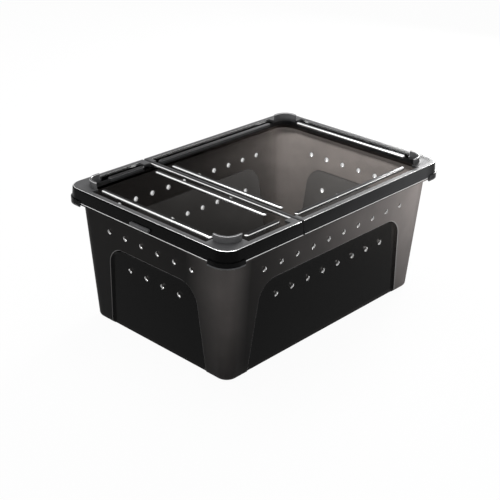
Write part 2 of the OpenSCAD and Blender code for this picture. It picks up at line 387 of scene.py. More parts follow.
FROST, PAINTED_HIGHLIGHT = 0, 3
# The bright line at the windows' outline is a painted highlight.
WINDOW, INSIDE, HIGHLIGHT_LINE, FOOT = 1, 2, 4, 5
# The last pair of numbers, where given, is the painted fall of light and the painted light on the front left
# post.
TUB_FINISH = (
    frosted("frosted_tub", body=(0.78, 0.725, 0.7), glow=(0.45, 0.42, 0.4), glow_share=0.5, tint=TEA,
            see_share=0.1, rough=0.42, grain=0.1, vary=0.25, scale=24, fade=(0.015, 0.21), index=1.22),
    polished("window_tub", SMOKE, rough=0.07, head_on=0.006, edge_on=0.25, fade=(0.35, 0)),
    polished("inside_tub", (0.66, 0.65, 0.64), rough=0.2, fade=(0.55, 0)),
    # Painted highlight: a mirror share far above the plastic's own.
    polished("painted_highlight_tub", grey(0.9), rough=0.2, head_on=0.85, edge_on=1.0),
    # Painted highlight: a lighter frost for the line at the windows' outline.
    frosted("highlight_line_tub", body=(0.85, 0.81, 0.79), glow=grey(0.5), glow_share=0.1, tint=TEA,
            see_share=0.1, rough=0.3, fade=(0.2, 0.1)),
    polished("foot_tub", SMOKE, rough=0.3, fade=(0.35, 0)),
)
# The lugs' finish is lighter than the lid's frost: partly their own see-through grey, partly painted light.
PANEL, SKIRT, LUG = 1, 2, 4
LID_FINISH = (
    frosted("frosted_lid", body=(0.06, 0.06, 0.062), glow=grey(0.3), glow_share=0.2, tint=grey(0.6),
            see_share=0.05, rough=0.5, grain=0.1, index=1.4),
    polished("panel_lid", grey(0.85), rough=0.05),
    # The skirt's colour also darkens towards the left, by the painted fall of light.
    frosted("skirt_lid", body=(0.11, 0.11, 0.112), glow=grey(0.1), glow_share=0.1, tint=grey(0.3),
            see_share=0.1, rough=0.15, grain=0.03, fade=(0.04, 0.0), index=1.13),
    # Painted highlight: a mirror share far above the plastic's own.
    polished("painted_highlight_lid", grey(0.9), rough=0.2, head_on=0.85, edge_on=1.0),
    # Partly painted light: lighter than the lid's frost, for the light that the lugs catch.
    frosted("lug_lid", body=(0.16, 0.16, 0.165), glow=grey(0.3), glow_share=0.3, tint=grey(0.6),
            see_share=0.2, rough=0.3, grain=0.1),
)
print("finishes:", [made.name for made in TUB_FINISH + LID_FINISH])

# %% [markdown]
# The tub's wall as a function
#
# Every level of the tub is a rounded rectangle, a little larger the higher it is: the draft
# that lets a moulding leave its mould. Each wall has a window, sunk by 3 mm with a sloped
# step round it, open at the foot and arched at its crown. The step could be cut with a
# boolean, but its slope has to follow a wall that leans. So the wall is written as a
# function of height and place, and these are its measures.

# %% Measures of the wall
LID_TOP = 144.5
# Half length, half width and corner radius at the foot, and what each grows by up to LID_TOP.
TUB_FOOT, TUB_GROWTH = (143, 95, 12), (10.5, 9, 5)
FOOT_ROUND, WALL, RECESS = 4.0, 2.0, 3.0
# Half width of a window at WINDOW_LOW and at WINDOW_HIGH, and the height of its crown.
LONG_WINDOW, SHORT_WINDOW = (115.4, 106.0, 94.5), (67.6, 60.0, 92.5)
WINDOW_R, WINDOW_LOW, WINDOW_HIGH = 19.0, 4.0, 88.0
STEP_SOFT = 0.3


def tub_half(z):
    """Half length, half width and corner radius at height z: each grows in a straight line."""
    share = np.asarray(z, float) / LID_TOP
    return tuple(foot + growth * share for foot, growth in zip(TUB_FOOT, TUB_GROWTH))


def window_half(window, z):
    """Half width of the window at height z. Its sides lean inwards in a straight line."""
    lean = (window[0] - window[1]) / (WINDOW_HIGH - WINDOW_LOW)
    return window[0] - lean * (np.asarray(z, float) - WINDOW_LOW)


def softened(t):
    """Half of (t + the root of (t squared + STEP_SOFT squared)).

    That is about 0 below 0 and about t above it, with a rounded bend between.
    """
    return 0.5 * (t + np.sqrt(t * t + STEP_SOFT * STEP_SOFT))


def sunk(s):
    """Depth of the window at signed distance s from its outline: 0 outside, a 45 degree slope, then level."""
    return softened(-s) - softened(-s - RECESS)


print("tub at the foot and at the lid:", *[[round(float(v), 1) for v in tub_half(z)] for z in (0, LID_TOP)])

# %% [markdown]
# A grid that follows the window
#
# A step that cuts across grid lines looks ragged. The mesh could be made so fine that it
# doesn't show, but that costs many faces. So the grid's lines are laid at fixed distances
# from the window's outline, close together where the step is and wide apart elsewhere.

# %% Rows and columns
# Distances of the close lines from the window's outline, less than 0 inside it.
ZONE = np.array([-22, -18.5, -15, -12, -9.5, -7.3, -5.5, -4.4, -3.8, -3.4, -3.1, -2.8, -2.4,
                 -1.9, -1.4, -0.9, -0.5, -0.2, 0.1, 0.5, 1.2, 3, 6, 10])
MIDDLE_COLUMNS, OUTER_COLUMNS, CORNER_COLUMNS = 8, 3, 13
LOW_ROWS, HIGH_ROWS = 6, 5
# Angles of the rows that go round the foot's edge, from flat to upright.
FOOT_CURL = np.radians(np.linspace(0, 90, 7))


def row_heights(foot_z, foot_round, crown, top_z):
    """Heights of the rows: round the foot's edge, up to the crown's zone, through it, and on to the top."""
    curl = foot_z + foot_round * (1 - np.cos(FOOT_CURL))
    low = np.linspace(foot_z + foot_round, crown + ZONE[0], LOW_ROWS + 2)[1:-1]
    high = np.linspace(crown + ZONE[-1], top_z, HIGH_ROWS + 1)[1:]
    return np.concatenate([curl, low, crown + ZONE, high])


print("columns of half a wall:", MIDDLE_COLUMNS + len(ZONE) + OUTER_COLUMNS)

# %% [markdown]
# A round corner for the window
#
# Fixed distances give the window a square corner. The real one is round, because a turning
# cutter made it in the mould. A boolean could round it, but would break the grid. So the
# grid itself is bent there: square shells become circles, and the bend fades out further
# away, so that the wall's own edges stay straight.

# %% Half of a wall
BEND_KEPT, BEND_FADE = 1.2, 10


def bend(p, q, radius):
    """Square corner to round: a square shell about (-radius, -radius) becomes a circle of its size.

    A point's place along its side of the square gives its angle. Past BEND_KEPT outside the
    outline the bend goes back to nothing over BEND_FADE, along a smooth step.
    """
    a, b = p + radius, q + radius
    inside = (a > 0) & (b > 0)
    size = np.where(inside, np.maximum(a, b), 1.0)
    angle = np.where(a >= b, np.pi / 4 * b / size, np.pi / 2 - np.pi / 4 * a / size)
    back = np.clip((size - radius - BEND_KEPT) / BEND_FADE, 0, 1)
    back = back * back * (3 - 2 * back)
    round_a = size * np.cos(angle) * (1 - back) + a * back
    round_b = size * np.sin(angle) * (1 - back) + b * back
    return np.where(inside, round_a, a) - radius, np.where(inside, round_b, b) - radius


def half_wall(window, axis, z, grow):
    """Half of one flat wall: distance from its middle, height, and signed distance to the outline.

    Columns keep their distance from the window's leaning side and rows theirs from its
    crown, and both are then bent at the corner. grow widens the window all round.
    """
    z = z[:, None]
    side, crown = window_half(window, z) + grow, window[2] + grow
    end = tub_half(z)[axis] - tub_half(z)[2]
    middle = np.linspace(0, 1, MIDDLE_COLUMNS, endpoint=False) * (side + ZONE[0])
    outer_part = side + ZONE[-1] + np.linspace(0, 1, OUTER_COLUMNS + 1)[1:] * (end - side - ZONE[-1])
    along = np.concatenate([middle, side + ZONE, outer_part], 1)
    p, q = along - side, np.broadcast_to(z - crown, along.shape)
    bent_p, bent_q = bend(p, q, WINDOW_R + grow)
    return along + bent_p - p, crown + bent_q, np.maximum(p, q)


print("bend fades out", BEND_KEPT + BEND_FADE, "mm outside the window")

# %% [markdown]
# A quarter of the wall
#
# The box is the same to the left and right and to the front and back, so one quarter is
# enough: half of the front, the corner and half of the right end. The outer and the inner
# face are the same function with other values. The inner window is a little larger, by the
# wall times the root of 2 less 1, so that the sloped step is as thick as the rest.

# %% Quarter of the wall
LEDGE_LOW, LEDGE_HIGH, RIM_TOP = 128.4, 130.4, 137.8
# How far each column of the corner has turned from the front to the right end, and its angle.
TURN = np.linspace(0, 1, CORNER_COLUMNS + 2)[1:-1]
TURN_ANGLE = -np.pi / 2 * (1 - TURN)
# Outline distance of points that are near no window.
FAR_OFF = 99.0


def wall_quarter(inset, foot_z, foot_round, grow, top_z):
    """Rows by columns of points, and their signed distance to the window's outline.

    Position = the tub's rounded rectangle at the row's height, moved in by the inset, and by
    the foot's rounding or the window's depth, whichever is deeper.
    """
    z_long, z_short = [row_heights(foot_z, foot_round, window[2] + grow, top_z)
                       for window in (LONG_WINDOW, SHORT_WINDOW)]
    curl_in = np.zeros((len(z_long), 1))
    curl_in[:len(FOOT_CURL), 0] = foot_round * (1 - np.sin(FOOT_CURL))

    x, z, s_front = half_wall(LONG_WINDOW, 0, z_long, grow)
    deep = inset + np.maximum(curl_in, sunk(s_front))
    front = np.stack([x, deep - tub_half(z)[1], z], -1)

    y, z, s_side = half_wall(SHORT_WINDOW, 1, z_short, grow)
    deep = inset + np.maximum(curl_in, sunk(s_side))
    side = np.stack([tub_half(z)[0] - deep, -y, z], -1)[:, ::-1]

    z = z_long[:, None] * (1 - TURN) + z_short[:, None] * TURN
    half_x, half_y, radius = tub_half(z)
    out = radius - inset - curl_in
    corner_x = half_x - radius + out * np.cos(TURN_ANGLE)
    corner_y = radius - half_y + out * np.sin(TURN_ANGLE)
    corner = np.stack([corner_x, corner_y, z], -1)
    far = np.full(z.shape, FAR_OFF)
    return np.concatenate([front, corner, side], 1), np.concatenate([s_front, far, s_side[:, ::-1]], 1)


outer, outer_s = wall_quarter(inset=0, foot_z=0, foot_round=FOOT_ROUND, grow=0, top_z=LEDGE_LOW - 1)
inner, inner_s = wall_quarter(inset=WALL, foot_z=WALL, foot_round=FOOT_ROUND - WALL,
                              grow=WALL * (math.sqrt(2) - 1), top_z=RIM_TOP - 0.9)
print("quarter of the wall, rows by columns:", outer.shape[:2])

# %% [markdown]
# Ledge and rim
#
# Near the top a ledge runs round the outside, just under the lid's skirt, and the wall ends
# in a rounded rim. They could be separate strips, but on the real box they are one with the
# wall, and a seam would show in clear plastic. So both are rings on the wall's own columns,
# and the tub stays one closed surface: up the outside, over the rim and down the inside.


# %% Rings of the ledge and the rim
def plain_rows(levels):
    """Rings without windows on the columns of the wall's top row.

    Each level is (move out, height, outline). The outline is half length, half width and
    radius, or None for the tub's own at that height. A point of a flat part keeps its share
    of the part's length, and a point of the corner keeps its angle.
    """
    flat = MIDDLE_COLUMNS + len(ZONE) + OUTER_COLUMNS
    top = outer[-1]
    top_x, top_y, top_r = tub_half(top[0, 2])
    rows = []
    for out, z, outline in levels:
        half_x, half_y, radius = [value + out for value in outline or tub_half(z)]
        row = top.copy()
        row[:, 2] = z
        row[:flat, 0] *= (half_x - radius) / (top_x - top_r)
        row[:flat, 1] = -half_y
        row[-flat:, 0] = half_x
        row[-flat:, 1] *= (half_y - radius) / (top_y - top_r)
        row[flat:-flat, 0] = half_x - radius + radius * np.cos(TURN_ANGLE)
        row[flat:-flat, 1] = radius - half_y + radius * np.sin(TURN_ANGLE)
        rows.append(row)
    return np.array(rows)


# Half length, half width and corner radius of the ledge's edge.
LEDGE = (159.4, 109.4, 15.4)
rim_rows = plain_rows([
    (0.05, LEDGE_LOW - 0.6, None), (0.25, LEDGE_LOW - 0.25, None), (0.8, LEDGE_LOW, None),
    (-0.5, LEDGE_LOW, LEDGE), (-0.15, LEDGE_LOW + 0.12, LEDGE), (0, LEDGE_LOW + 0.5, LEDGE),
    (0, LEDGE_HIGH - 0.5, LEDGE), (-0.15, LEDGE_HIGH - 0.12, LEDGE), (-0.5, LEDGE_HIGH, LEDGE),
    (0.8, LEDGE_HIGH, None), (0.25, LEDGE_HIGH + 0.2, None), (0, LEDGE_HIGH + 0.8, None),
    (0, RIM_TOP - 0.6, None), (-0.1, RIM_TOP - 0.3, None), (-0.35, RIM_TOP - 0.08, None),
    (-0.7, RIM_TOP, None), (0.7 - WALL, RIM_TOP, None), (0.35 - WALL, RIM_TOP - 0.08, None),
    (0.1 - WALL, RIM_TOP - 0.3, None), (-WALL, RIM_TOP - 0.6, None),
])
print("rings of ledge and rim:", len(rim_rows))

# %% [markdown]
# The tub's shell
#
# The rings of the outside, the rim and the inside become one mesh. Each face's finish comes
# from its distance to the window's outline: the sunken part is clear, a narrow line at the
# outline gets a lighter frost, a painted highlight on the step's edge, and the rest is
# frosted. Painting it by a texture would blur that line, while the grid already has an edge
# exactly there.

# %% Shell of the tub
GLASS_BELOW, LINE_BELOW = -0.4, 0.0


def all_round(quarter):
    """Four mirrored quarters as whole rings, anticlockwise from the middle of the front."""
    back = quarter[:, ::-1]
    parts = [quarter, back * [1, -1, 1], quarter * [-1, -1, 1], back * [-1, 1, 1]]
    return np.concatenate([part[:, :-1] for part in parts], 1)


def spread_round(s):
    """The same for a plain number at each point."""
    return np.concatenate([part[:, :-1] for part in (s, s[:, ::-1], s, s[:, ::-1])], 1)


tub_rings = all_round(np.concatenate([outer, rim_rows, inner[::-1]]))
point_s = spread_round(np.concatenate([outer_s, np.full(rim_rows.shape[:2], FAR_OFF), inner_s[::-1]]))
next_s = np.roll(point_s, -1, 1)
face_s = (point_s[:-1] + next_s[:-1] + point_s[1:] + next_s[1:]) / 4
row_slots = np.select([face_s < GLASS_BELOW, face_s < LINE_BELOW], [WINDOW, HIGHLIGHT_LINE], FROST)
row_slots[len(outer) + len(rim_rows) - 1:] = INSIDE
tub_slots = np.concatenate([row_slots.ravel(), [FOOT, INSIDE]])
tub_faces = closed_faces(*tub_rings.shape[:2])
tub = make_object("tub_shell", tub_rings.reshape(-1, 3), tub_faces, tub_slots, TUB_FINISH)
print("tub faces:", len(tub_faces))

# %% [markdown]
# Vents
#
# Fifty-six round holes let air in. The pins of the mould that form them leave softly rounded
# edges, which catch the light as bright crescents. A plain cylinder would cut sharp edges.
# So each hole is cut by a spool: a cylinder that flares where it meets the wall's two faces
# and leans with the wall. All spools are one mesh, so that one boolean is enough.

# %% Cutters for the vents
VENT_R, VENT_PITCH, VENT_SOFT = 2.5, 22.75, 0.6
CUT_PAST = 2
# Height, count on a long wall, count on a short wall, and depth of the face there.
VENT_ROWS = ((108.0, 10, 6, 0.0), (72.0, 8, 4, RECESS))


def spool(along, z_middle, end_wall, depth, steps=28, mouth_steps=5):
    """Rings of one cutter at distances t behind the outer face.

    The radius grows by a quarter circle of VENT_SOFT near each face and stays so past it.
    """
    curl = np.radians(np.linspace(90, 0, mouth_steps))
    mouth_t, mouth_r = VENT_SOFT * (1 - np.cos(curl)), VENT_SOFT * (1 - np.sin(curl))
    t = np.concatenate([[-CUT_PAST], mouth_t, WALL - mouth_t[::-1], [WALL + CUT_PAST]])
    r = VENT_R + np.concatenate([[VENT_SOFT], mouth_r, mouth_r[::-1], [VENT_SOFT]])
    angle = np.linspace(0, 2 * np.pi, steps, endpoint=False)
    place, z = along + r[:, None] * np.cos(angle), z_middle + r[:, None] * np.sin(angle)
    half_x, half_y, _ = tub_half(z)
    behind = depth + t[:, None]
    if end_wall:
        return np.stack([half_x - behind, place, z], -1)[:, ::-1]
    return np.stack([place, behind - half_y, z], -1)[:, ::-1]


cutters = []
for z_row, long_count, short_count, depth in VENT_ROWS:
    for end_wall, count in ((False, long_count), (True, short_count)):
        for along in (np.arange(count) - (count - 1) / 2) * VENT_PITCH:
            one = spool(along, z_row, end_wall, depth)
            cutters += [one, one * ([-1, 1, 1] if end_wall else [1, -1, 1])]
print("vents:", len(cutters))

# %% [markdown]
# Cutting with booleans
#
# A boolean takes one closed solid from another. Mirrored cutters are inside out, so their
# faces are turned outwards first. Of Blender's solvers the manifold one is the quick one for
# closed meshes, and it keeps each face's finish, so that the holes get their cutters'
# shining finish, a painted highlight for the bright crescents on their rims.


# %% Cut the vents
def joined(name, stacks, slot, finishes):
    """Several closed ring stacks of one size as one mesh."""
    stacks = np.array(stacks)
    count, rows, columns = stacks.shape[:3]
    faces = []
    for n in range(count):
        faces += closed_faces(rows, columns, n * rows * columns)
    return make_object(name, stacks.reshape(-1, 3), faces, slot, finishes)


def recalculate(made):
    """Turns every face outwards, for meshes that hold mirrored parts."""
    work = bmesh.new()
    work.from_mesh(made.data)
    bmesh.ops.recalc_face_normals(work, faces=work.faces)
    work.to_mesh(made.data)
    work.free()
    return made


def combine(target, others, how):
    """Applies a boolean of the others to the target, and removes them."""
    for other in others:
        modifier = target.modifiers.new("cut", "BOOLEAN")
        modifier.operation = how
        modifier.object = other
        modifier.solver = "MANIFOLD"
    graph = bpy.context.evaluated_depsgraph_get()
    result = bpy.data.meshes.new_from_object(target.evaluated_get(graph))
    target.modifiers.clear()
    target.data = result
    for other in others:
        bpy.data.objects.remove(other)
    return target


combine(tub, [recalculate(joined("vent_cutters", cutters, PAINTED_HIGHLIGHT, TUB_FINISH))], "DIFFERENCE")
print("tub after the vents:", len(tub.data.polygons), "faces")

# %% [markdown]
# The lid blank
#
# The whole lid is first one moulding: a skirt, a level band, a step down to a sunken panel,
# and the hollow below. It is cut in two afterwards, so that the halves match. Its section
# could be drawn as a curve, but here it is written as stretches of points, and each stretch
# says which finish its faces have, because the bright lines on glossy plastic sit exactly on
# its rounded edges: the rows there get the shining finish, a painted highlight.

# %% Section of the lid
# Half length, half width and corner radius at the top edge.
LID_HALF = np.array([160, 110, 16])
BAND, PANEL_Z, UNDER_Z, SKIRT_Z = 6.7, 142.0, 140.0, 131.0
EDGE_R, STEP_R, STEP_LEAN = 2.0, 0.35, 0.12
FLARE, GROOVE_Z = 0.78, LID_TOP - 2


def arc(centre_in, centre_z, radius, start, stop, steps):
    """Points (inset, height) on a circle, angles in degrees from outwards (0) to up (90)."""
    turned = on_circle(np.radians(np.linspace(start, stop, steps)), radius)
    return turned * [-1, 1] + [centre_in, centre_z]


def lid_profile():
    """The lid's section from the panel's top out over the band, down the skirt and back inside.

    Returns the points (inset, height), and for each the finish of the faces from it to the next.
    """
    foot_of_step = BAND - STEP_LEAN
    round_step = arc(foot_of_step - STEP_R, LID_TOP - STEP_R, STEP_R, start=150, stop=90, steps=3)
    outer_edge = arc(EDGE_R, LID_TOP - EDGE_R, EDGE_R, start=90, stop=0, steps=8)
    # Stretches with the shining finish are painted highlights: the step, a row of the outer edge and the
    # skirt's foot.
    stretches = (
        (PANEL, [(BAND + 1.0, PANEL_Z), (BAND + 0.1, PANEL_Z + 0.06)]),
        (PAINTED_HIGHLIGHT, [(BAND - 0.02, PANEL_Z + 0.3), (foot_of_step, LID_TOP - STEP_R)]),
        (FROST, [*round_step, outer_edge[0]]),
        (PAINTED_HIGHLIGHT, outer_edge[1:2]),
        (SKIRT, outer_edge[2:]),
        (PAINTED_HIGHLIGHT, [(-FLARE, SKIRT_Z + 0.75), (0.08 - FLARE, SKIRT_Z + 0.15)]),
        (SKIRT, [(0.33 - FLARE, SKIRT_Z), (0.95, SKIRT_Z), (1.2, SKIRT_Z + 0.25), (1.95, PANEL_Z)]),
        (SKIRT, [(2.4, GROOVE_Z)]),
        (PANEL, [(4.9, GROOVE_Z), (5.3, PANEL_Z), (5.3, UNDER_Z)]),
    )
    points = np.concatenate([stretch for _, stretch in stretches])
    return points, np.repeat([finish for finish, _ in stretches], [len(s) for _, s in stretches])


print("lid section points:", len(lid_profile()[0]))

# %% [markdown]
# The section carried round
#
# Each point of the section is an inset and a height, so it gives one ring: the lid's outline
# moved in by the inset. Moving in also makes the corner's radius smaller, as an even wall
# does. The section runs from the top down and a stack grows upwards, so it is reversed.


# %% Blank
def lid_ring(inset, z):
    """The lid's outline moved in by the inset, at a height."""
    return at_height(ring(*(LID_HALF - inset), steps=14), z)


def blank(name):
    """The uncut lid: one ring for each point of the section, from the last to the first."""
    points, finishes = lid_profile()
    rings = [lid_ring(inset, z) for inset, z in points[::-1]]
    return solid(name, rings, [PANEL, *finishes[-2::-1], PANEL], LID_FINISH)


print("points of one of the lid's rings:", len(lid_ring(0, LID_TOP)))

# %% [markdown]
# Blocks on the lid
#
# Small pads cover the hinge, and a flat tab at each end lifts the lid. A cube with a Bevel
# modifier would do, but the same radius on all edges looks like a toy. So each is a ring
# stack too, with one radius in plan and another over its upper edge. Their feet go half a
# millimetre into the panel, because two faces in one plane would confuse the boolean.

# %% Rounded sides and blocks
ROOT_Z = PANEL_Z - 0.5
LEAST_R = 0.05


def rounded_side(foot_z, top_z, radius, steps, stop=90):
    """Rows (inset, height) of an upright side: its foot, then an arc of the radius over its edge."""
    t = np.radians(np.linspace(0, stop, steps))
    inset, height = radius * (1 - np.cos(t)), top_z - radius * (1 - np.sin(t))
    return np.stack([np.append(0, inset), np.append(foot_z, height)], 1)


def block(name, x_run, y_run, z_run, plan=0.6, soft=0.3, finish=FROST):
    """Box with upright corners rounded by plan and an upper edge rounded by soft."""
    (x0, x1), (y0, y1) = sorted(x_run), sorted(y_run)
    half_x, half_y, centre = (x1 - x0) / 2, (y1 - y0) / 2, [(x0 + x1) / 2, (y0 + y1) / 2]
    rings = [at_height(ring(half_x - d, half_y - d, max(plan - d, LEAST_R), steps=3) + centre, z)
             for d, z in rounded_side(*z_run, soft, steps=4)]
    return solid(name, rings, [finish] * (len(rings) + 1), LID_FINISH)


print("rows of a rounded side with 4 steps:", len(rounded_side(ROOT_Z, LID_TOP, radius=0.3, steps=4)))

# %% [markdown]
# Ribs
#
# Raised ribs with round ends stiffen the thin panel. In clear plastic the flank of a rib
# that turns to the light shines along its whole length, and that line is what one sees
# first. A lamp could be placed to draw it, but would spoil the rest, so those faces get a
# lighter finish, a painted highlight, chosen by the direction in which they face.

# %% Ribs
RIB_TOP, RIB_HALF = LID_TOP + 0.3, 2.5
# A flank gets the painted highlight where its normal reaches further than TURNED_BY along this direction in
# plan.
FRONT_LEFT, TURNED_BY = np.array([-0.8, -0.6]), 0.3


def lit_flanks(made, lit=PAINTED_HIGHLIGHT):
    """Painted highlight: the faces turned to the front left get the lit finish, the rest the skirt's."""
    for finish in LID_FINISH:
        made.data.materials.append(finish)
    normals = np.empty(len(made.data.polygons) * 3, np.float32)
    made.data.polygons.foreach_get("normal", normals)
    facing = normals.reshape(-1, 3)[:, :2] @ FRONT_LEFT
    finishes = np.where(facing > TURNED_BY, lit, SKIRT).astype(np.int32)
    made.data.polygons.foreach_set("material_index", finishes)
    return made


def stadium(half_length, radius, steps=12):
    """Outline of a slot: two half circles about (-half_length, 0) and (half_length, 0)."""
    right = on_circle(np.linspace(-np.pi / 2, np.pi / 2, steps + 1), radius, (half_length, 0))
    return np.concatenate([right, -right])


def rib(name, x, y, length, across=True, lit=PAINTED_HIGHLIGHT, crown=1.6):
    """Rounded bar along Y, or along X where across is false: stadiums that shrink over an arc at the top."""
    rings = []
    for inset, z in rounded_side(ROOT_Z, RIB_TOP, crown, steps=7):
        flat = stadium(length / 2 - RIB_HALF, RIB_HALF - inset)
        if across:
            flat = flat[:, ::-1] * [-1, 1]
        rings.append(at_height(flat + [x, y], z))
    # Flanks turned to the front left get the lit finish, a painted highlight.
    return lit_flanks(solid(name, rings), lit)


print("ribs are", 2 * RIB_HALF, "mm wide and stand", round(RIB_TOP - PANEL_Z, 2), "mm over the panel")

# %% [markdown]
# Lugs
#
# Four L-shaped walls at the corners hold the foot of a second box. Each follows the lid's
# round corner, and two straight bars would leave a kink there. Its outline is a middle line,
# an arc with two short legs, set off by half its thickness to both sides and closed by half
# circles. A pad of plain ground under each lug fills the corner of the sunken panel.

# %% Lugs and their pads
LUG_CENTRE, LUG_R, LUG_HALF = np.array([133, 84]), 13, 1.0
LUG_TOP, LUG_SOFT = LID_TOP + 6.5, 0.55
# Where the legs end: X of the leg along Y = 97, and Y of the leg along X = 146.
LEG_X, LEG_Y = 129.0, 80.5
PAD_R, PAD_LEVEL = 12.4, LID_TOP - 0.02
LUG_TURN = np.linspace(0, np.pi / 2, 14)


def lug_outline(half):
    """Outline of an L-shaped wall: its middle line set off by half both ways, with half-round ends.

    The middle line runs up the leg at x = 146, round an arc of radius 13 and along y = 97.
    """
    leg_x, leg_y = LUG_CENTRE + LUG_R
    middle = np.concatenate([[[leg_x, LEG_Y]], on_circle(LUG_TURN, LUG_R, LUG_CENTRE), [[LEG_X, leg_y]]])
    normal = np.concatenate([[[1.0, 0.0]], on_circle(LUG_TURN), [[0.0, 1.0]]])
    cap = on_circle(np.linspace(0, np.pi, 7)[1:-1], half)
    end, start = middle[-1] + cap[:, ::-1] * [-1, 1], middle[0] - cap
    return np.concatenate([middle + half * normal, end, (middle - half * normal)[::-1], start])


def mirrored_to(flat, side_x, side_y):
    """The outline in the corner that the two signs name, still anticlockwise."""
    return (flat * [side_x, side_y])[::side_x * side_y]


def lug(name, side_x, side_y):
    """One corner's lug as rings that shrink over an arc at the top."""
    rings = [at_height(mirrored_to(lug_outline(LUG_HALF - inset), side_x, side_y), z)
             for inset, z in rounded_side(ROOT_Z, LUG_TOP, LUG_SOFT, steps=5, stop=80)]
    # Two rows of the rounding at the top get the shining finish, a painted highlight.
    return solid(name, rings, [LUG, LUG, PAINTED_HIGHLIGHT, PAINTED_HIGHLIGHT, LUG, LUG, LUG], LID_FINISH)


def lug_pad(name, side_x, side_y):
    """Ground under a lug: the corner between the band and the lug's inner face."""
    inside = on_circle(LUG_TURN, PAD_R, LUG_CENTRE)
    corners = [[145.4, 78.0], [155.5, 78.0], [155.5, 100.0], [149.5, 105.5], [126.5, 105.5], [126.5, 96.4]]
    flat = mirrored_to(np.concatenate([corners, inside[::-1]]), side_x, side_y)
    return solid(name, [at_height(flat, z) for z in (ROOT_Z, PAD_LEVEL)])


print("lug outline points:", len(lug_outline(LUG_HALF)))

# %% [markdown]
# The seam
#
# The two halves meet along a straight seam with a low ridge on each side. The hatch's edge
# is a quarter round about the hinge line, so that it can turn against its neighbour. Both
# halves could be modelled on their own, but then band and panel might not line up. So each
# half is what is left of the same blank inside a large tool that has that rounded edge.

# %% Seam and ridges
SEAM_X, GAP = -59.5, 0.5
PIVOT_X, PIVOT_Z, HATCH_R, LARGE_R = -62.75, 141.5, 3.0, 2.0
TOOL_X, TOOL_Y, TOOL_LOW, TOOL_HIGH = 200, 130, 100, 170
RIDGE_FOOT, RIDGE_TOP, RIDGE_Y = 2.95, 2.5, 105


def along_y(name, section, y0, y1):
    """Closed section in X and Z, given anticlockwise as seen from the front, carried along Y."""
    section = np.array(section, float)
    rings = [np.column_stack([section[:, 0], np.full(len(section), y), section[:, 1]]) for y in (y1, y0)]
    return solid(name, rings)


def half_space(name, side):
    """What one half keeps of the blank: everything on its side of the seam, with its rounded upper edge."""
    radius = HATCH_R if side < 0 else LARGE_R
    edge = SEAM_X + side * GAP / 2
    centre = edge + side * radius
    corner = on_circle(np.radians(np.linspace(0, 90, 13)), radius) * [-side, 1] + [centre, LID_TOP - radius]
    far = side * TOOL_X
    section = [(far, TOOL_LOW), (edge, TOOL_LOW), *corner, (centre, TOOL_HIGH), (far, TOOL_HIGH)]
    return along_y(name, section[::-side], -TOOL_Y, TOOL_Y)


def ridge(name, side):
    """Low ridge beside the seam. It is cut to the edge's rounding together with the blank."""
    edge, foot, top = [SEAM_X + side * out for out in (GAP / 2 - 1, RIDGE_FOOT, RIDGE_TOP)]
    section = [(edge, ROOT_Z), (foot, ROOT_Z), (foot, PANEL_Z + 0.2),
               (top + side * 0.1, LID_TOP - 0.5), (top - side * 0.2, LID_TOP - 0.1),
               (top - side * 0.6, LID_TOP - 0.02), (edge, LID_TOP - 0.02)]
    # The flanks that face the front left get the lit finish, a painted highlight.
    return lit_flanks(along_y(name, section[::side], -RIDGE_Y, RIDGE_Y))


print("seam at", SEAM_X, "hinge line at", PIVOT_X, PIVOT_Z)

# %% [markdown]
# Pins and hooks
#
# Out of sight, below two small pads, the hatch has a thin pin moulded across a pocket, and
# the large half reaches under it with a snap hook. They are seen when the hatch stands open,
# so they are real shapes. A hook could be a ring cut open and joined to a bar, but each
# boolean can leave a sliver. So it is one closed section, a ring with an open mouth on a foot
# and a flat arm, carried along Y. The pin is a round bar on the hinge line.

# %% Pins and hooks
PIN_R, PIN_LENGTH, HINGE_Y = 1.0, 4.5, 99.5
HOOK_OUT, HOOK_BORE, MOUTH_HALF, HOOK_HALF_Y = 1.9, 1.05, 0.7, 1.25
# Angles in radians at which the ring runs into the foot.
FOOT_FROM, FOOT_TO = -2.13, -1.01
ARM = [(-1.0, -3.6), (6.0, -3.6), (6.0, -1.2), (4.2, -1.2), (4.2, -2.6), (1.0, -2.6)]


def pin(name, y, steps=32):
    """Round bar on the hinge line."""
    section = on_circle(np.linspace(0, 2 * np.pi, steps, endpoint=False), PIN_R, (PIVOT_X, PIVOT_Z))
    return along_y(name, section, y - PIN_LENGTH / 2, y + PIN_LENGTH / 2)


def hook(name, y):
    """Snap hook: a ring about the hinge line, open to the hatch, on a foot and a flat arm.

    The mouth is cut at the angles whose sine is its half height over the radius.
    """
    gape, wide = math.asin(MOUTH_HALF / HOOK_BORE), math.asin(MOUTH_HALF / HOOK_OUT)
    bore = on_circle(np.linspace(np.pi - gape, -np.pi + gape, 28), HOOK_BORE)
    low = on_circle(np.linspace(-np.pi + wide, FOOT_FROM, 5), HOOK_OUT)
    high = on_circle(np.linspace(FOOT_TO, np.pi - wide, 20), HOOK_OUT)
    section = np.concatenate([bore, low, ARM, high]) + [PIVOT_X, PIVOT_Z]
    return along_y(name, section, y - HOOK_HALF_Y, y + HOOK_HALF_Y)


print("play between pin and hook:", round(HOOK_BORE - PIN_R, 3), "mm")

# %% [markdown]
# The locating wall
#
# Below the panel a thin wall finds the tub's rim, so that the lid can't slide about. It is
# seen through the clear panel and when the hatch stands open. It could be a bent strip, but
# a rounded rectangle with a hole through it keeps the same thickness in its corners. Where
# the two halves part, a box cuts it away.

# %% Locating wall
# Half length, half width and radius of its outer and its inner face, and its lower and upper end.
LOCATOR_OUT, LOCATOR_IN, LOCATOR_Z = (150.2, 100.2, 14), (148.6, 98.6, 12.4), (136.0, 140.5)
LOCATOR_GAP_X = (-68, -54)
PAST_X, PAST_Y = 170, 120


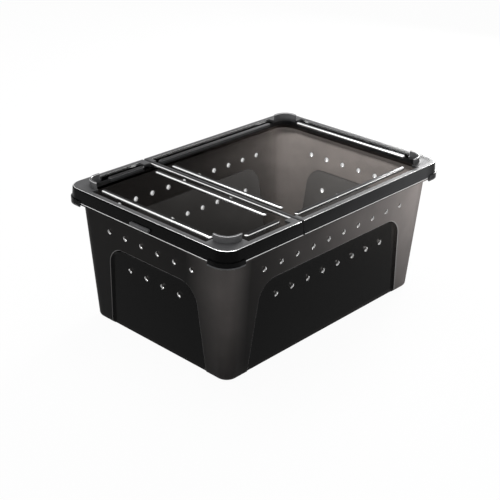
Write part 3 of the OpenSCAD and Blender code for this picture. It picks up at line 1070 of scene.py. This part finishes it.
def box(name, x_run, y_run, z_run):
    """Plain cutter box between two values on each axis."""
    (x0, x1), (y0, y1) = x_run, y_run
    flat = np.array([[x0, y0], [x1, y0], [x1, y1], [x0, y1]])
    return solid(name, [at_height(flat, z) for z in z_run])


def both(value):
    """From minus the value to the value."""
    return -value, value


def locator(name):
    """Thin wall below the panel: a rounded rectangle with a hole through it and a gap at the seam."""
    past = (LOCATOR_Z[0] - 1, LOCATOR_Z[1] + 1)
    body = solid(name, [at_height(ring(*LOCATOR_OUT), z) for z in LOCATOR_Z])
    hole = solid("hole", [at_height(ring(*LOCATOR_IN), z) for z in past])
    gap = box("gap", LOCATOR_GAP_X, both(PAST_Y), past)
    return combine(body, [hole, gap], "DIFFERENCE")


print("locating wall", round(LOCATOR_OUT[0] - LOCATOR_IN[0], 2), "mm thick")

# %% [markdown]
# Lips and tabs
#
# At the corners the skirt reaches lower, as grip lips, and at each end a flat tab gives a
# finger something to lift. Four separate lips would each need a curved outline. It is
# easier to take the lid's own outline as one band and cut away all but its corners, which
# leaves the lips' ends square, as a mould does.

# %% Lips and tab
# Inset and height of each ring of the lips. An inset below 0 is outside the lid's outline.
LIP_ROWS = ((-1.6, 127.6), (-2.0, 128.0), (-2.0, 129.4), (-2.0, 133.5), (-1.7, 133.9), (-1.2, 134.0))
LIP_Z, LIP_FROM_X, LIP_FROM_Y = (127.0, 135.0), 138, 88
TAB_X, TAB_Y, TAB_Z = (159.0, 163.6), 13, (134.2, 136.6)


def corner_lips(name):
    """Grip lips: a low wall round the skirt, of which only the four corners are kept."""
    # A painted highlight on the lips' lower edge, and the lugs' lighter, partly painted finish on the strip
    # above it.
    slots = [SKIRT, PAINTED_HIGHLIGHT, LUG, SKIRT, SKIRT, SKIRT, SKIRT]
    body = solid(name, [lid_ring(inset, z) for inset, z in LIP_ROWS], slots, LID_FINISH)
    hole = solid("hole", [lid_ring(0, z) for z in LIP_Z])
    long_part = box("long_part", both(LIP_FROM_X), both(PAST_Y), LIP_Z)
    short_part = box("short_part", both(PAST_X), both(LIP_FROM_Y), LIP_Z)
    return combine(body, [hole, long_part, short_part], "DIFFERENCE")


def finger_tab(name, side):
    """Flat tab with rounded corners on an end's skirt."""
    x_run = [side * x for x in TAB_X]
    # The tab has the lugs' lighter finish, partly painted light.
    return block(name, x_run, both(TAB_Y), TAB_Z, plan=1.2, soft=0.5, finish=LUG)


print("lips reach", LID_TOP - LIP_ROWS[0][1], "mm down from the lid's top")

# %% [markdown]
# What stands on each half
#
# The two halves carry the same things in other places: two lugs on their pads, a ridge, the
# locating wall, lips, a tab, ribs along all four sides and two hinge pads. They could be
# placed by hand, one by one, but a function with the side as its value can't forget one.
# The side is -1 for the hatch and 1 for the large half.

# %% Standing parts
END_RIB_X, RIB_LENGTH, SIDE_RIB_Y, SIDE_CROWN = 142.8, 150, 92.9, 0.9
SIDE_RIB_X = {-1: (-120, -75), 1: (-52.5, 116)}
SEAM_RIB_X = {-1: -72.8, 1: -50}
HINGE_PAD_X, HINGE_PAD_Y = {-1: (-70.5, -59), 1: (-60, -54)}, (95.8, 105.0)


def standing_parts(side):
    """Everything that stands on one half's panel and skirt, uncut."""
    parts = [lug(f"lug{i}", side, i) for i in (-1, 1)] + [lug_pad(f"pad{i}", side, i) for i in (-1, 1)]
    parts += [ridge("ridge", side), locator("locator"), corner_lips("lips"), finger_tab("tab", side)]
    parts.append(rib("end_rib", side * END_RIB_X, 0, RIB_LENGTH))
    parts.append(rib("seam_rib", SEAM_RIB_X[side], 0, RIB_LENGTH))
    x0, x1 = SIDE_RIB_X[side]
    for i in (-1, 1):
        # The front ribs' lit flanks get the painted highlight, the back ribs' the lugs' dimmer finish.
        parts.append(rib("side_rib", (x0 + x1) / 2, i * SIDE_RIB_Y, x1 - x0, across=False,
                         lit=LUG if i > 0 else PAINTED_HIGHLIGHT, crown=SIDE_CROWN))
        pad_y = [i * y for y in HINGE_PAD_Y]
        parts.append(block("hinge_pad", HINGE_PAD_X[side], pad_y, (ROOT_Z, LID_TOP - 0.01)))
    return parts


print("side ribs:", {side: x1 - x0 for side, (x0, x1) in SIDE_RIB_X.items()}, "mm long")

# %% [markdown]
# The two halves
#
# Each half is the blank with everything that stands on it, cut at the seam, and then given
# its share of the hinge. The order matters: ridges and pads are added before the cut, so
# that the seam's rounded edge runs through them, while pins and hooks come after it, because
# they reach across the seam.

# %% Put the two halves together
SLOT_HALF, SLOT_Y, SLOT_Z = 1.25, (107.7, 127.7), (120, 150)
POCKET_X, POCKET_HALF_Y, POCKET_Z = (-65.15, -50), 1.75, (120, 143.7)


def seam_cuts(side):
    """Slots between the skirts at the seam, and on the hatch the pockets round its pins."""
    slot_x = (SEAM_X - SLOT_HALF, SEAM_X + SLOT_HALF)
    cuts = [box("slot", slot_x, y_run, SLOT_Z) for y_run in ((-SLOT_Y[1], -SLOT_Y[0]), SLOT_Y)]
    if side < 0:
        cuts += [box("pocket", POCKET_X, (y - POCKET_HALF_Y, y + POCKET_HALF_Y), POCKET_Z)
                 for y in both(HINGE_Y)]
    return cuts


def lid_half(name, side):
    """One half of the lid: what stands on the blank, the cut at the seam, then the hinge's parts."""
    made = combine(blank(name), standing_parts(side), "UNION")
    combine(made, [half_space("keep", side)], "INTERSECT")
    combine(made, seam_cuts(side), "DIFFERENCE")
    hinge_part = pin if side < 0 else hook
    return combine(made, [hinge_part("hinge_part", y) for y in both(HINGE_Y)], "UNION")


small_lid = lid_half("hatch_shell", -1)
large_lid = lid_half("lid_shell", 1)
print("lid faces:", len(small_lid.data.polygons), len(large_lid.data.polygons))

# %% [markdown]
# Shading, and what each piece stands for
#
# Flat shading would show every facet of the arcs. Smooth shading makes them look round, and
# edges sharper than 32 degrees stay crisp, as they are on the mould. Then each piece says
# which solid of the frame it replaces and which body it rides on, so that it lifts or swings
# with it.

# %% Hand the pieces to the frame
SHARP_FROM = math.radians(32)
for made, node, slot in ((tub, "tub", "smoke_tub"), (small_lid, "small_lid", "smoke_lid"),
                         (large_lid, "large_lid", "smoke_lid")):
    made.data.shade_smooth()
    made.data.set_sharp_from_angle(angle=SHARP_FROM)
    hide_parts(node)
    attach(made, node)
    print(made.name, "stands for", node)

# %% [markdown]
# Floor and world
#
# The photograph has a white ground with a faint shadow. A brighter lamp would give the white
# but wash out the plastic. Instead the floor and the world look white to the rays that the
# camera sees, directly, in a gloss or through clear plastic, and stay plain and dim for the
# rays that light the object. The floor keeps a small share of its real shading, and with it
# the shadow.

# %% Floor and world
FLOOR_HALF, FLOOR_Z, FLOOR_WHITE = 3000, -0.3, 0.96
FLOOR_COLOUR, SKY_COLOUR, SKY_STRENGTH = 0.8, (0.9, 0.92, 0.95, 1), 0.35


def seen(nodes):
    """1 for rays from the camera, in a gloss and through glass, 0 for the rest: their sum, at most 1."""
    path = nodes.add("LightPath")
    either = nodes.maths("ADD", path.outputs["Is Camera Ray"], path.outputs["Is Glossy Ray"])
    return nodes.maths("ADD", either, path.outputs["Is Transmission Ray"], clamp=True)


def floor_material():
    """Plain pale floor, mixed with white light by FLOOR_WHITE for the rays that are seen."""
    made = bpy.data.materials.new("studio_floor")
    nodes = Nodes(made)
    plain = nodes.add("BsdfDiffuse", Color=(*grey(FLOOR_COLOUR), 1))
    bright = nodes.add("Emission", Strength=1)
    share = nodes.maths("MULTIPLY", seen(nodes), FLOOR_WHITE)
    nodes.end(nodes.mix(share, plain.outputs["BSDF"], bright.outputs["Emission"]))
    return made


corners = np.array([[-1, -1], [1, -1], [1, 1], [-1, 1]]) * FLOOR_HALF
floor = make_object("studio_floor", at_height(corners, FLOOR_Z), [[0, 1, 2, 3]], 0, [floor_material()])

world = bpy.data.worlds.new("studio")
bpy.context.scene.world = world
sky = Nodes(world)
soft = sky.add("Background", Color=SKY_COLOUR, Strength=SKY_STRENGTH)
white = sky.add("Background", Color=(1, 1, 1, 1), Strength=1)
sky.end(sky.mix(seen(sky), soft.outputs[0], white.outputs[0]), "OutputWorld")
print("floor", 2 * FLOOR_HALF * MM, "m square, sky at", SKY_STRENGTH)

# %% [markdown]
# Two soft lights
#
# A small soft box stands low on the right, so that the right end glows and its highlights
# run along the edges, and a large one hangs above. Point lamps would mirror as hard dots in
# polished plastic, while a rectangle of light leaves broad soft shine.

# %% Soft lights
# In metres.
LIGHT_AIM = (0, 0, 0.1)


def soft_light(name, place, size, power):
    """Rectangular soft box at a place, turned so that it shines at LIGHT_AIM. Metres and watts."""
    data = bpy.data.lights.new(name, "AREA")
    data.shape = "RECTANGLE"
    data.size, data.size_y = size
    data.energy = power
    made = bpy.data.objects.new(name, data)
    bpy.context.scene.collection.objects.link(made)
    away = Vector(place) - Vector(LIGHT_AIM)
    made.location = place
    made.rotation_mode = "QUATERNION"
    made.rotation_quaternion = away.to_track_quat("Z", "Y")
    return made


lights = [soft_light("soft_right", place=(1.05, 0.3, 0.44), size=(0.42, 0.3), power=16),
          soft_light("soft_top", place=(0.1, 0.3, 1.3), size=(1.2, 0.9), power=13)]
print("lights:", [light.name for light in lights])

# %% [markdown]
# Camera
#
# The camera stands where the photograph was taken, about a metre away to the front left and
# half a metre up. Its place and its angles were solved from the straight edges of the lid
# and the tub. It could be aimed by a constraint, but three plain angles say exactly how it
# was held, with the small roll that a picture often has.

# %% Camera
# Place in metres, angles in degrees, lens and sensor in millimetres.
CAMERA_AT = (-0.747235, -0.681426, 0.548591)
AIM_DEG, DOWN_DEG, ROLL_DEG = -47.15, 25.939, 1.161
LENS, SENSOR = 77.508, 36


def photo_camera():
    """Camera from its azimuth, its tilt down and its roll: columns of the matrix are right, up and back."""
    aim, down, roll = (math.radians(v) for v in (AIM_DEG, DOWN_DEG, ROLL_DEG))
    ahead = Vector((-math.sin(aim) * math.cos(down), math.cos(aim) * math.cos(down), -math.sin(down)))
    level = ahead.cross(Vector((0, 0, 1))).normalized()
    upright = level.cross(ahead)
    right = level * math.cos(roll) + upright * math.sin(roll)
    up = upright * math.cos(roll) - level * math.sin(roll)
    data = bpy.data.cameras.new("photo_camera")
    data.lens, data.sensor_width = LENS, SENSOR
    made = bpy.data.objects.new("photo_camera", data)
    bpy.context.scene.collection.objects.link(made)
    made.matrix_world = Matrix.Translation(CAMERA_AT) @ Matrix((right, up, -ahead)).transposed().to_4x4()
    return made


bpy.context.scene.camera = photo_camera()
bpy.context.scene.view_settings.view_transform = "Standard"
print("camera", round(Vector(CAMERA_AT).length, 3), "m from the foot's middle")

# %% [markdown]
# The end
#
# The dressed model has to stay inside the box of the solids, because that box is what
# others plan with.
